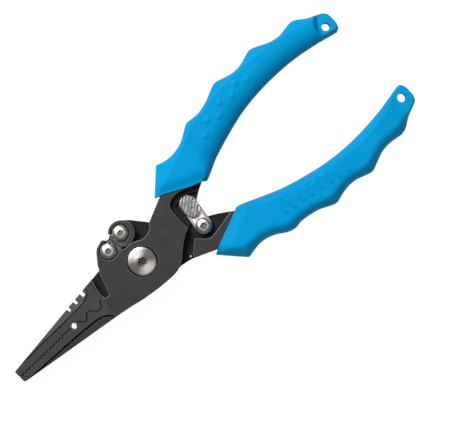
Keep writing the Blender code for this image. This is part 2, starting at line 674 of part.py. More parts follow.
def make_thumb_pad():
    """The ribbed oval pad; its stem passes through the plate and ends as the locking peg."""
    middle = along_latch(PAD_DISTANCE)
    oval = [along_latch(PAD_DISTANCE + PAD_HALF_LENGTH * cos(a), PAD_HALF_WIDTH * sin(a))
            for a in (2 * pi * i / 36 for i in range(36))]
    base = LATCH_FRONT + 0.2
    pad = loft([(oval, base), (oval, base + 1.1), (grown(oval, -0.5), PAD_FRONT)])
    for i in range(PAD_GROOVES):
        offset = (i - (PAD_GROOVES - 1) / 2) * PAD_RIB_PITCH
        groove = prism([(-6, -0.28), (6, -0.28), (6, 0.28), (-6, 0.28)], PAD_FRONT - 0.45, PAD_FRONT + 1)
        turn = Matrix.Rotation(radians(PAD_RIB_ANGLE), 4, "Z")
        shift = turn @ Vector((0, offset, 0))
        groove.data.transform(Matrix.Translation(Vector((middle[0] + shift.x, middle[1] + shift.y, 0)) * MM)
                              @ turn)
        cut(pad, groove)
    weld(pad, rod(along_latch(PEG_DISTANCE), PEG_RADIUS, PEG_BACK, base + 0.5, 20))
    return pad


# ---------------------------------------------------------------- the assembly
def build():
    for old in list(bpy.data.objects):
        bpy.data.objects.remove(old)

    black = paint("black_coated_metal", (0.055, 0.05, 0.052), 0.5, 0.7)
    steel = paint("stainless_steel", (0.62, 0.6, 0.58), 0.28, 1.0)
    carbide = paint("cutter_steel", (0.16, 0.15, 0.15), 0.4, 1.0)
    spring_steel = paint("spring_steel", (0.35, 0.34, 0.33), 0.35, 1.0)
    bronze = paint("bearing_bronze", (0.45, 0.27, 0.1), 0.45, 1.0)
    soft_blue = paint("soft_blue_grip", (0.0, 0.34, 0.7), 0.5, 0.0)

    back_frame = frame_at("back_lever_frame", 0, 0)
    front_frame = frame_at("front_lever_frame", 0, 0)
    latch_frame = frame_at("latch_frame", *LATCH_AXIS, parent=back_frame)

    finish(make_back_lever(), "back_lever", back_frame, black)
    finish(make_back_grip(), "back_grip", back_frame, soft_blue)
    finish(make_front_lever(), "front_lever", front_frame, black)
    finish(make_front_grip(), "front_grip", front_frame, soft_blue)

    finish(make_pivot_screw(), "pivot_screw", back_frame, steel)
    finish(make_barrel_nut(), "pivot_barrel_nut", back_frame, steel)
    finish(ring(*HEAD_WASHER, HEAD_SEAT + 0.15, HEAD_SEAT + 0.55), "pivot_front_washer", back_frame, bronze)
    finish(ring(*HEAD_WASHER, NUT_SEAT - 0.6, NUT_SEAT - 0.2), "pivot_back_washer", back_frame, bronze)
    finish(ring(*LAP_WASHER, LAP_BACK - 0.45, LAP_BACK + 0.1), "lap_washer", back_frame, bronze)
    finish(make_opening_spring(), "opening_spring", back_frame, spring_steel)
    finish(rod(ANCHOR_PIN, ANCHOR_PIN_RADIUS, METAL_BACK + 1.5, LAP_BACK + 1.6, 16),
           "spring_anchor_pin", back_frame, steel)

    blade_back = CUTTER_POCKET_FLOOR + 0.3
    blade_front = blade_back + BLADE_THICKNESS
    cutters = (
        ("front", FRONT_CUTTER, 1, front_frame, LAP_FRONT + 0.3),
        ("back", BACK_CUTTER, -1, back_frame, 4.2),
    )
    for side, centre, hand, frame, tip in cutters:
        blade = prism(blade_outline(centre, hand, 0), blade_back, blade_front)
        cut(blade, rod(centre, SCREW_HOLE, blade_back - 1, blade_front + 1, 20))
        finish(blade, f"{side}_cutter_blade", frame, carbide)
        washer = ring(SCREW_HOLE, 3.1, blade_front + 0.15, blade_front + 0.5, centre, 24)
        finish(washer, f"{side}_cutter_washer", frame, steel)
        screw = make_button_screw(centre, blade_front + 0.65, tip, 3.45, 1.9)
        finish(screw, f"{side}_cutter_screw", frame, steel)

    finish(make_latch_plate(), "latch_plate", latch_frame, steel, LATCH_AXIS)
    finish(make_thumb_pad(), "latch_thumb_pad", latch_frame, steel, LATCH_AXIS)
    wave_washer = ring(BUSH[1] + 0.2, 3.3, LATCH_FLOOR + 0.25, LATCH_BACK - 0.25, LATCH_AXIS, 24)
    finish(wave_washer, "latch_spring_washer", latch_frame, spring_steel, LATCH_AXIS)
    bush = ring(*BUSH, LATCH_FLOOR + 0.2, LATCH_FRONT + 0.1, LATCH_AXIS, 24)
    finish(bush, "latch_bush", back_frame, bronze)
    screw = make_button_screw(LATCH_AXIS, LATCH_FRONT + 0.35, 4.2, 3.2, 1.55)
    finish(screw, "latch_screw", back_frame, steel)


build()
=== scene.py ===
"""The looks of the fishing pliers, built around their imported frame.

Outlines are drawn in millimetres around the pivot, as the levers are, and put in place by the
pivot's position in the frame.
"""
import json
from math import cos, pi, radians, sin, sqrt

import bmesh
import bpy
import numpy as np
from mathutils import Matrix, Vector


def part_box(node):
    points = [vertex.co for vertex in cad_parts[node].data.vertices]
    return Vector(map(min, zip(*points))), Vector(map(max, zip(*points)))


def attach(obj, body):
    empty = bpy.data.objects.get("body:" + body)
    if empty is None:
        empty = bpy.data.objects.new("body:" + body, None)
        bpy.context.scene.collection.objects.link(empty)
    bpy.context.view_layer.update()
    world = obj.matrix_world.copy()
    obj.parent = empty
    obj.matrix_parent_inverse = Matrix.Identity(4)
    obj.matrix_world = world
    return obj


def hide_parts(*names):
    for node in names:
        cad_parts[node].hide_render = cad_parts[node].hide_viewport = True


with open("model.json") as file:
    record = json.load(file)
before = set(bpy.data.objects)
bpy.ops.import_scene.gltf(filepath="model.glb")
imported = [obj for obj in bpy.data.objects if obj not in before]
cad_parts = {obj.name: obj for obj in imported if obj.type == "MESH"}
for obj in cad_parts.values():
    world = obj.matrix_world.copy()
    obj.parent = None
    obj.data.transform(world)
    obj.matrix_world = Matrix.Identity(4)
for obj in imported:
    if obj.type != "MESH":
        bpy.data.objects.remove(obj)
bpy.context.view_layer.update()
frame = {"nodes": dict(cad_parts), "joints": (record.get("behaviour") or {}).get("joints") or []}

MM = 0.001
JOINTS = {joint["name"]: joint for joint in frame["joints"]}
PIVOT = Vector((*JOINTS["jaw_open"]["pos_m"][:2], 0))
LATCH_AXIS = Vector((*JOINTS["latch_swing"]["pos_m"][:2], 0))
GRIP_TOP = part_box("front_grip")[1].z / MM
GRIP_MIDDLE = GRIP_TOP / 2
METAL_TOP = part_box("front_lever")[1].z / MM
JAW_TAPER_X, JAW_TAPER = -22, 0.0499  # the jaws thin beyond this place, by this much per millimetre

GRIP_COLUMNS, GRIP_ROWS = 260, 56
FACET_SLOPE, FACET_BLEND = 0.52, 0.5  # the finger facets beyond the crease
FRONT_DIP, FRONT_DIP_REACH = 1.35, 5.5  # how far the grips sink towards their front edges
END_ROLL = 1.5
TAB_DEPTH = 3.0  # how far the lanyard tab lies below the grip's face
SCOOP_SHIFT, SCOOP_RADIUS = 4.4, 6.9  # the round scoop above the tab, from the lanyard hole
MARK_RISE = 0.36  # height of the studs and ribs

SCREW_SHANK, HEX_RADIUS, STAR_RADIUS = 1.5, 1.38, 1.9
LATCH_DIRECTION = radians(82.4)
LATCH_LENGTH, LATCH_HALF_WIDTH = 10.65, 3.55
PAD_MIDDLE, PAD_HALF_LENGTH, PAD_HALF_WIDTH = 9.1, 4.8, 3.4
RIB_PITCH, RIB_ANGLE = 1.3, radians(37)
PEG_PLACE, PEG_RADIUS = 12.4, 1.1
VIEW_TURN = radians(43.5)  # how far the tool is turned in the view


# ---------------------------------------------------------------- curves and meshes
def smooth(points, per_span=12):
    """A Catmull-Rom curve through the points, as an array of points in millimetres."""
    ends = np.array([points[0], *points, points[-1]], float)
    t = np.linspace(0, 1, per_span, endpoint=False)[:, None]
    spans = []
    for p, q, r, s in zip(ends, ends[1:], ends[2:], ends[3:]):
        spans.append(0.5 * (2 * q + (r - p) * t + (2 * p - 5 * q + 4 * r - s) * t ** 2
                            + (3 * q - p - 3 * r + s) * t ** 3))
    return np.vstack([*spans, ends[-1:]])


def along(curve, fractions):
    """Points at fractions of a curve's length."""
    steps = np.hypot(*np.diff(curve, axis=0).T)
    reached = np.concatenate([[0], np.cumsum(steps)]) / steps.sum()
    return np.stack([np.interp(fractions, reached, curve[:, k]) for k in (0, 1)], axis=-1)


def distance_to(curve, points):
    """The distance of each point from a curve, and the side it lies on (1 left, -1 right)."""
    a, b = curve[:-1], curve[1:]
    span = b - a
    offset = points[:, None, :] - a[None]
    t = np.clip((offset * span).sum(-1) / (span ** 2).sum(-1), 0, 1)
    gap = offset - t[..., None] * span
    length = np.hypot(gap[..., 0], gap[..., 1])
    nearest = length.argmin(1)
    row = np.arange(len(points))
    chosen = span[nearest]
    side = np.sign(chosen[:, 0] * gap[row, nearest, 1] - chosen[:, 1] * gap[row, nearest, 0])
    return length[row, nearest], side


def ease(t):
    """A smooth step from 0 to 1."""
    t = np.clip(t, 0, 1)
    return t * t * (3 - 2 * t)


def roll(t):
    """A quarter round: 0 at the edge, 1 and level from t = 1 on."""
    return np.sqrt(1 - (1 - np.clip(t, 0, 1)) ** 2)


def add_piece(name, builder, material, body, replaced, sharp=40):
    """Turn a bmesh in metres into a shaded piece that rides on a body; sharp is in degrees."""
    bmesh.ops.remove_doubles(builder, verts=builder.verts, dist=2e-6)
    bmesh.ops.recalc_face_normals(builder, faces=builder.faces)
    mesh = bpy.data.meshes.new(name)
    builder.to_mesh(mesh)
    builder.free()
    piece = bpy.data.objects.new(name, mesh)
    bpy.context.scene.collection.objects.link(piece)
    mesh.materials.append(material)
    if sharp:
        mesh.shade_smooth()
        mesh.set_sharp_from_angle(angle=radians(sharp))
    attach(piece, body)
    if replaced:
        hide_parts(*replaced)
    return piece


def place(x, y, height, centre=PIVOT):
    """A point in millimetres from a centre, put in its place in metres."""
    return Vector((centre.x + x * MM, centre.y + y * MM, height * MM))


def turned(profile, centre, sides=64):
    """A bmesh turned about +Z from (radius, height) points in millimetres; it closes on the axis."""
    builder = bmesh.new()
    rings = []
    for radius, height in profile:
        count = sides if radius > 0 else 1
        rings.append([
            builder.verts.new(centre + Vector((radius * cos(2 * pi * i / sides),
                                               radius * sin(2 * pi * i / sides), height)) * MM)
            for i in range(count)
        ])
    for ring, following in zip(rings, rings[1:]):
        for i in range(sides):
            corners = [ring[i % len(ring)], ring[(i + 1) % len(ring)],
                       following[(i + 1) % len(following)], following[i % len(following)]]
            distinct = list(dict.fromkeys(corners))
            if len(distinct) > 2:
                builder.faces.new(distinct)
    return builder


def cut_with(piece, outline, bottom, top):
    """Cut a straight hole with a closed outline (metres, in place) out of a piece."""
    builder = bmesh.new()
    rings = [[builder.verts.new((x, y, height * MM)) for x, y in outline] for height in (bottom, top)]
    builder.faces.new(rings[0])
    builder.faces.new(rings[1])
    for i in range(len(outline)):
        builder.faces.new((rings[0][i - 1], rings[0][i], rings[1][i], rings[1][i - 1]))
    bmesh.ops.recalc_face_normals(builder, faces=builder.faces)
    mesh = bpy.data.meshes.new("tool")
    builder.to_mesh(mesh)
    builder.free()
    tool = bpy.data.objects.new("tool", mesh)
    bpy.context.scene.collection.objects.link(tool)
    cutter = piece.modifiers.new("Cut", "BOOLEAN")
    cutter.object = tool
    cutter.operation = "DIFFERENCE"
    evaluated = piece.evaluated_get(bpy.context.evaluated_depsgraph_get())
    result = bpy.data.meshes.new_from_object(evaluated)
    piece.modifiers.clear()
    piece.data = result
    bpy.data.objects.remove(tool)
    result.shade_smooth()
    result.set_sharp_from_angle(angle=radians(40))


def paint_recess_shade(piece, centre, radius, above, material):
    """Paint shade on the walls and floor of a driver recess by giving them a dark material."""
    piece.data.materials.append(material)
    for face in piece.data.polygons:
        away = face.center - centre
        if face.center.z > above * MM and sqrt(away.x ** 2 + away.y ** 2) < radius * MM:
            face.material_index = 1


def soften(piece, width):
    """Break a piece's sharp edges with a small round."""
    bevel = piece.modifiers.new("Edges", "BEVEL")
    bevel.width = width * MM
    bevel.segments = 3
    bevel.limit_method = "ANGLE"
    bevel.angle_limit = radians(35)
    bevel.use_clamp_overlap = True
    weighted = piece.modifiers.new("Level faces", "WEIGHTED_NORMAL")
    weighted.mode = "FACE_AREA"
    weighted.weight = 100


def circle(centre, radius, steps=48):
    """Points around a circle; six steps make a hexagon."""
    return [(centre[0] + radius * cos(2 * pi * i / steps), centre[1] + radius * sin(2 * pi * i / steps))
            for i in range(steps)]


# ---------------------------------------------------------------- materials
def new_material(name, colour, roughness, metallic):
    """A Principled material, with its node tree and its shader."""
    material = bpy.data.materials.new(name)
    material.use_nodes = True
    shader = material.node_tree.nodes["Principled BSDF"]
    shader.inputs["Base Color"].default_value = (*colour, 1)
    shader.inputs["Roughness"].default_value = roughness
    shader.inputs["Metallic"].default_value = metallic
    return material, material.node_tree, shader


def link(tree, source, target):
    tree.links.new(source, target)


def noise(tree, scale, detail):
    """Noise over the piece's own coordinates; scale is in waves per metre."""
    coordinates = tree.nodes.new("ShaderNodeTexCoord")
    texture = tree.nodes.new("ShaderNodeTexNoise")
    texture.inputs["Scale"].default_value = scale
    texture.inputs["Detail"].default_value = detail
    link(tree, coordinates.outputs["Object"], texture.inputs["Vector"])
    return texture.outputs["Fac"]


def ramp(tree, value, stops):
    """A colour ramp from (position, colour) stops."""
    node = tree.nodes.new("ShaderNodeValToRGB")
    elements = node.color_ramp.elements
    while len(elements) < len(stops):
        elements.new(0.5)
    for element, (position, colour) in zip(elements, stops):
        element.position = position
        element.color = (*colour, 1)
    link(tree, value, node.inputs["Fac"])
    return node.outputs["Color"]


def spread(tree, value, low, high):
    """Map a noise value onto a range."""
    node = tree.nodes.new("ShaderNodeMapRange")
    node.inputs["From Min"].default_value = 0.3
    node.inputs["From Max"].default_value = 0.7
    node.inputs["To Min"].default_value = low
    node.inputs["To Max"].default_value = high
    link(tree, value, node.inputs["Value"])
    return node.outputs["Result"]


def rounded_normal(tree, edge):
    """The surface's normal with its sharp edges rounded over an edge width in millimetres."""
    rounding = tree.nodes.new("ShaderNodeBevel")
    rounding.samples = 6
    rounding.inputs["Radius"].default_value = edge * MM
    return rounding.outputs["Normal"]


def bump(tree, shader, height, distance, edge=0.0):
    """Surface relief from a height; an edge in millimetres also rounds the shading of sharp edges."""
    node = tree.nodes.new("ShaderNodeBump")
    node.inputs["Distance"].default_value = distance * MM
    link(tree, height, node.inputs["Height"])
    if edge:
        link(tree, rounded_normal(tree, edge), node.inputs["Normal"])
    link(tree, node.outputs["Normal"], shader.inputs["Normal"])


def coated_metal(name, dark, light, roughness, edge, relief=0.02, specular=0.5, painted_edge_colour=(0.3, 0.29, 0.285)):
    """Satin charcoal coating: fine grain, soft clouds and, with an edge width, a painted edge colour on
    its rounded edges: a light colour paints a highlight there, a dark one paints shade.
    """
    material, tree, shader = new_material(name, light, roughness, 0.2)
    grain = noise(tree, 2600, 6)
    clouds = noise(tree, 160, 3)
    base = ramp(tree, clouds, [(0.3, dark), (0.7, light)])
    if edge:
        geometry = tree.nodes.new("ShaderNodeNewGeometry")
        level = tree.nodes.new("ShaderNodeVectorMath")
        level.operation = "DOT_PRODUCT"
        link(tree, rounded_normal(tree, edge), level.inputs[0])
        link(tree, geometry.outputs["Normal"], level.inputs[1])
        # Painted edge light: where the rounded normal leans off the true normal, the base colour turns
        # towards the edge colour; a light one paints a highlight, a dark one paints shade.
        painted_edge_mask = tree.nodes.new("ShaderNodeMapRange")
        painted_edge_mask.inputs["From Min"].default_value = 0.99
        painted_edge_mask.inputs["From Max"].default_value = 0.9
        painted_edge_mask.inputs["To Max"].default_value = 0.75
        link(tree, level.outputs["Value"], painted_edge_mask.inputs["Value"])
        mix = tree.nodes.new("ShaderNodeMix")
        mix.data_type = "RGBA"
        link(tree, painted_edge_mask.outputs["Result"], mix.inputs["Factor"])
        link(tree, base, mix.inputs["A"])
        mix.inputs["B"].default_value = (*painted_edge_colour, 1)
        base = mix.outputs["Result"]
    link(tree, base, shader.inputs["Base Color"])
    link(tree, spread(tree, grain, roughness - 0.07, roughness + 0.07), shader.inputs["Roughness"])
    shader.inputs["Specular IOR Level"].default_value = specular
    bump(tree, shader, grain, relief, edge)
    return material


def soft_rubber():
    """Satin blue soft-touch rubber with a faint moulded grain."""
    material, tree, shader = new_material("blue_soft_touch", (0.0, 0.25, 0.52), 0.55, 0.0)
    grain = noise(tree, 1800, 5)
    clouds = noise(tree, 70, 3)
    base = ramp(tree, clouds, [(0.3, (0.0, 0.24, 0.505)), (0.7, (0.0, 0.262, 0.535))])
    link(tree, base, shader.inputs["Base Color"])
    link(tree, spread(tree, grain, 0.5, 0.62), shader.inputs["Roughness"])
    shader.inputs["Specular IOR Level"].default_value = 0.03
    bump(tree, shader, grain, 0.02)
    return material


def bright_steel(name, colour, low, high, edge=0.0):
    """Bare metal: gloss that varies between low and high, and fine machining marks."""
    material, tree, shader = new_material(name, colour, (low + high) / 2, 1.0)
    marks = noise(tree, 900, 5)
    link(tree, spread(tree, marks, low, high), shader.inputs["Roughness"])
    tint = ramp(tree, marks, [(0.25, tuple(c * 0.94 for c in colour)), (0.75, colour)])
    link(tree, tint, shader.inputs["Base Color"])
    bump(tree, shader, marks, 0.008, edge)
    return material


def lathe_turned_steel_painted_sheen():
    """Stainless turned on a lathe: fine rings about the pivot, with a painted reflection in its colour
    that is brighter across than along the tool.
    """
    material, tree, shader = new_material("turned_stainless_painted_sheen", (0.66, 0.64, 0.62), 0.3, 1.0)
    coordinates = tree.nodes.new("ShaderNodeTexCoord")
    centre = tree.nodes.new("ShaderNodeVectorMath")
    centre.operation = "SUBTRACT"
    centre.inputs[1].default_value = PIVOT
    link(tree, coordinates.outputs["Object"], centre.inputs[0])
    rings = tree.nodes.new("ShaderNodeTexWave")
    rings.wave_type = "RINGS"
    rings.rings_direction = "Z"
    rings.inputs["Scale"].default_value = 900
    rings.inputs["Distortion"].default_value = 0.6
    link(tree, centre.outputs["Vector"], rings.inputs["Vector"])
    parts = tree.nodes.new("ShaderNodeSeparateXYZ")
    link(tree, centre.outputs["Vector"], parts.inputs["Vector"])
    bearing = tree.nodes.new("ShaderNodeMath")
    bearing.operation = "ARCTAN2"
    link(tree, parts.outputs["Y"], bearing.inputs[0])
    link(tree, parts.outputs["X"], bearing.inputs[1])
    double = tree.nodes.new("ShaderNodeMath")
    double.operation = "MULTIPLY"
    double.inputs[1].default_value = 2.0
    link(tree, bearing.outputs["Value"], double.inputs[0])
    wave = tree.nodes.new("ShaderNodeMath")
    wave.operation = "COSINE"
    link(tree, double.outputs["Value"], wave.inputs[0])
    painted_sheen = tree.nodes.new("ShaderNodeMapRange")
    painted_sheen.inputs["From Min"].default_value = -1.0
    painted_sheen.inputs["From Max"].default_value = 1.0
    link(tree, wave.outputs["Value"], painted_sheen.inputs["Value"])
    # Painted reflection: the colour is light across the tool and dark along it, set by the bearing about
    # the pivot.
    tint = ramp(tree, painted_sheen.outputs["Result"], [(0.1, (0.55, 0.53, 0.51)), (0.85, (0.14, 0.13, 0.13))])
    link(tree, tint, shader.inputs["Base Color"])
    bump(tree, shader, rings.outputs["Fac"], 0.01, 0.12)
    return material


# The lever coating carries a painted highlight along its rounded edges.
COATING = coated_metal("charcoal_coating", (0.018, 0.0155, 0.016), (0.025, 0.022, 0.023), 0.46, 0.45,
                       specular=0.3)
# Tilted jaw faces: a slightly lighter tone, and painted shade as a dark line along their edges.
JAW_FACE_PAINTED_EDGE_SHADE = coated_metal("jaw_face_painted_edge_shade", (0.027, 0.0245, 0.025), (0.034, 0.031, 0.032), 0.45, 0.3,
                        specular=0.35, painted_edge_colour=(0.004, 0.004, 0.004))
# Near-black recess floors: painted shade where the floors lie below the lever's face.
RECESS_PAINTED_SHADE = coated_metal("recess_painted_shade", (0.003, 0.0025, 0.0025), (0.01, 0.0085, 0.0085), 0.7, 0.0,
                    relief=0.08, specular=0.25)
RUBBER = soft_rubber()
TURNED_PAINTED_SHEEN = lathe_turned_steel_painted_sheen()
DOMED = bright_steel("domed_stainless", (0.62, 0.6, 0.57), 0.28, 0.36)
SATIN = bright_steel("satin_stainless", (0.56, 0.53, 0.53), 0.34, 0.42, edge=0.2)
# Dark linings of the driver recesses: painted shade.
SOCKET_PAINTED_SHADE = bright_steel("socket_painted_shade", (0.13, 0.12, 0.115), 0.38, 0.46)
STAR_RECESS_PAINTED_SHADE = bright_steel("star_recess_painted_shade", (0.045, 0.036, 0.03), 0.38, 0.46)
# Pin steel, which also paints shade low in the thumb pad's rib grooves.
PIN_AND_GROOVE_SHADE = bright_steel("pin_steel_and_groove_shade", (0.3, 0.29, 0.28), 0.4, 0.5)
CUTTER = bright_steel("cutter_steel", (0.09, 0.085, 0.085), 0.36, 0.45)
SPRING = bright_steel("spring_steel", (0.4, 0.39, 0.38), 0.25, 0.35)
BRONZE = bright_steel("bearing_bronze", (0.5, 0.31, 0.12), 0.35, 0.5)


# ---------------------------------------------------------------- grips
def grip_grid(inner, outer, front, end, columns, rows):
    """A grid of points between four edges (a Coons patch); columns run from front to end."""
    t = np.linspace(0, 1, columns)
    u = 0.35 * (0.5 - 0.5 * np.cos(pi * t)) + 0.65 * t
    t = np.linspace(0, 1, rows)
    v = 0.75 * (0.5 - 0.5 * np.cos(pi * t)) + 0.25 * t
    low, high = along(inner, u), along(outer, u)
    left, right = along(front, v), along(end, v)
    u, v = u[:, None, None], v[None, :, None]
    return ((1 - v) * low[:, None] + v * high[:, None] + (1 - u) * left[None] + u * right[None]
            - (1 - u) * (1 - v) * left[0] - (1 - u) * v * left[-1]
            - u * (1 - v) * right[0] - u * v * right[-1])


def grip_piece(name, edges, crease, crease_side, hole, marks, body, node, rolls):
    """A grip with rolled edges, finger facets outside its crease and a thin lanyard tab."""
    inner, outer, front, end = (np.array(edge, float) for edge in edges)
    columns, rows = GRIP_COLUMNS, GRIP_ROWS
    grid = grip_grid(inner, outer, front, end, columns, rows)
    points = grid.reshape(-1, 2)
    from_inner = distance_to(inner, points)[0]
    from_outer = distance_to(outer, points)[0]
    from_front = distance_to(front, points)[0]
    from_end = distance_to(end, points)[0]
    to_crease, side = distance_to(crease, points)
    beyond = np.maximum(0, to_crease * side * crease_side)
    half = GRIP_TOP - GRIP_MIDDLE
    facet = np.sqrt(beyond ** 2 + FACET_BLEND ** 2) - FACET_BLEND
    height = half - FACET_SLOPE * facet
    height -= FRONT_DIP * (1 - ease(from_front / FRONT_DIP_REACH)) ** 1.5
    inner_roll, outer_roll = rolls
    edge = 1.6 + (inner_roll - 1.6) * ease((from_front - 1) / 9)
    height *= roll(from_inner / edge)
    height *= roll(from_outer / outer_roll) * roll(from_end / END_ROLL)
    (centre_x, centre_y, radius), (end_x, end_y), tab_slope = hole
    scoop_x, scoop_y = centre_x + SCOOP_SHIFT * end_x, centre_y + SCOOP_SHIFT * end_y
    from_scoop = np.hypot(points[:, 0] - scoop_x, points[:, 1] - scoop_y)
    tab = half - TAB_DEPTH
    above_tab = (height - tab) * ease((from_scoop - SCOOP_RADIUS) / tab_slope)
    height = np.where(height > tab, tab + above_tab, height)
    front_height = height + marks(points) * ease(from_inner / 3) * ease(from_outer / 2)
    builder = bmesh.new()
    layers = []
    for rise in (front_height, -height):
        layers.append([
            [builder.verts.new(place(*grid[i, j], GRIP_MIDDLE + rise[i * rows + j])) for j in range(rows)]
            for i in range(columns)
        ])
    for layer in layers:
        for i in range(columns - 1):
            for j in range(rows - 1):
                builder.faces.new((layer[i][j], layer[i + 1][j], layer[i + 1][j + 1], layer[i][j + 1]))
    for j in range(rows - 1):
        builder.faces.new((layers[0][0][j], layers[0][0][j + 1], layers[1][0][j + 1], layers[1][0][j]))
    piece = add_piece(name, builder, RUBBER, body, (node,), sharp=60)
    cut_with(piece, circle(place(centre_x, centre_y, 0), radius * MM), -1, GRIP_TOP + 1)


def front_marks(points):
    """Seven low round studs."""
    rise = np.zeros(len(points))
    studs = ((52.5, 18.9), (57.1, 22.8), (61.8, 20.7), (65.5, 24.6), (71.0, 23.1), (75.1, 25.8),
             (80.0, 23.6))
    for x, y in studs:
        away = np.hypot(points[:, 0] - x, points[:, 1] - y)
        rise += MARK_RISE * ease((1.6 - away) / 0.9)
    return rise


def back_marks(points):
    """A plain row of slanted grip ribs."""
    start, finish = np.array((54.5, -23.2)), np.array((84.0, -28.4))
    run = (finish - start) / np.hypot(*(finish - start))
    lean = np.array((run[0] * 0.94 - run[1] * 0.34, run[1] * 0.94 + run[0] * 0.34))
    across = np.array((-lean[1], lean[0]))
    rise = np.zeros(len(points))
    for step in np.linspace(0, 1, 8):
        offset = points - (start + (finish - start) * step)
        thick = np.abs(offset @ lean)
        long = np.abs(offset @ across)
        rise = np.maximum(rise, MARK_RISE * ease((0.9 - thick) / 0.55) * ease((2.7 - long) / 0.8))
    return rise


def make_front_grip():
    """The upper grip, with studs on its face."""
    outer = [(20.6, 14.8), (24.0, 18.1), (27.0, 21.0), *smooth([
        (29.8, 23.7), (30.4, 24.0), (33.0, 23.1), (36.5, 22.6), (40.0, 22.9), (43.5, 23.9), (47.0, 25.9),
        (50.3, 27.8), (53.0, 27.7), (57.0, 27.6), (62.0, 28.8), (66.5, 30.8), (69.7, 31.8), (73.0, 31.0),
        (77.0, 29.9), (81.0, 29.8), (85.0, 30.8), (88.5, 31.8), (92.0, 30.7), (96.5, 28.6), (101.0, 27.7),
        (105.0, 28.2), (108.3, 28.5), (110.5, 27.7), (114.0, 25.2), (117.5, 23.6), (119.6, 22.5),
        (120.7, 21.6),
    ], 6)]
    inner = [*smooth([
        (40.2, 5.8), (41.2, 5.6), (45.0, 7.3), (50.0, 9.7), (60.0, 13.0), (70.0, 15.6), (80.0, 16.9),
        (90.0, 17.2), (100.0, 16.6), (110.0, 14.9), (116.0, 13.5), (119.0, 12.8),
    ], 8)]
    front = smooth([(40.2, 5.8), (38.6, 7.0), (35.0, 8.2), (30.0, 10.7), (25.0, 13.2), (20.6, 14.8)], 8)
    end = smooth([(119.0, 12.8), (120.6, 13.7), (121.4, 15.5), (121.5, 18.0), (121.3, 20.4),
                  (120.7, 21.6)], 6)
    crease = smooth([(22.0, 14.6), (27.0, 15.8), (32.0, 17.7), (40.0, 20.6), (46.0, 22.9), (52.0, 25.2),
                     (60.0, 26.8), (75.0, 28.2), (90.0, 27.6), (105.0, 25.2), (122.0, 20.5)], 8)
    hole = (117.05, 17.4, 1.7), (0.99, -0.14), 2.2
    grip_piece("front_grip_rubber", (inner, outer, front, end), crease, 1, hole,
               front_marks, "front_half", "front_grip", (8.0, 1.7))


def make_back_grip():
    """The lower grip, with ribs on its face."""
    outer = [(22.9, -18.3), (26.0, -21.7), (29.0, -25.0), *smooth([
        (31.6, -27.8), (32.5, -28.1), (35.0, -27.6), (38.5, -27.2), (42.0, -27.5), (46.0, -29.0),
        (50.0, -31.5), (53.5, -32.5), (57.0, -32.1), (61.0, -32.6), (65.5, -33.7), (69.5, -35.6),
        (72.5, -36.5), (76.0, -35.6), (80.0, -34.9), (84.0, -35.1), (88.0, -36.4), (91.3, -37.2),
        (95.0, -35.9), (99.5, -34.2), (104.0, -33.8), (108.0, -34.3), (110.3, -34.5), (113.0, -33.6),
        (116.5, -31.3), (120.0, -29.8), (122.6, -28.6), (123.5, -27.4),
    ], 6)]
    inner = [*smooth([
        (41.0, -10.6), (42.2, -10.1), (45.0, -10.9), (50.0, -13.0), (60.0, -17.0), (70.0, -19.8),
        (80.0, -21.8), (90.0, -22.7), (100.0, -22.5), (110.0, -21.5), (118.0, -20.0), (121.8, -19.3),
    ], 8)]
    front = smooth([(41.0, -10.6), (40.0, -11.0), (35.0, -13.1), (30.0, -15.0), (25.5, -17.0),
                    (22.9, -18.3)], 8)
    end = smooth([(121.8, -19.3), (123.1, -19.9), (123.8, -22.0), (123.9, -24.5), (123.8, -26.4),
                  (123.5, -27.4)], 6)
    crease = smooth([(24.5, -18.6), (29.0, -20.5), (34.0, -22.8), (41.0, -25.2), (48.0, -27.6),
                     (55.0, -29.8), (65.0, -31.4), (80.0, -33.0), (95.0, -32.6), (108.0, -31.0),
                     (124.0, -26.5)], 8)
    hole = (119.6, -23.8, 1.85), (0.98, 0.2), 9.0
    grip_piece("back_grip_rubber", (inner, outer, front, end), crease, -1, hole,
               back_marks, "back_half", "back_grip", (3.0, 4.5))


# ---------------------------------------------------------------- levers, blades and hidden pieces
def dress(node, material, width=None):
    """Give a CAD node its finish and, with a width, softly broken edges."""
    piece = frame["nodes"][node]
    piece.data.materials.clear()
    piece.data.materials.append(material)
    piece.data.shade_smooth()
    if width:
        weld = piece.modifiers.new("Weld", "WELD")
        weld.merge_threshold = 2e-6
        flat = piece.modifiers.new("Planes", "DECIMATE")
        flat.decimate_type = "DISSOLVE"
        flat.angle_limit = radians(0.3)
        soften(piece, width)


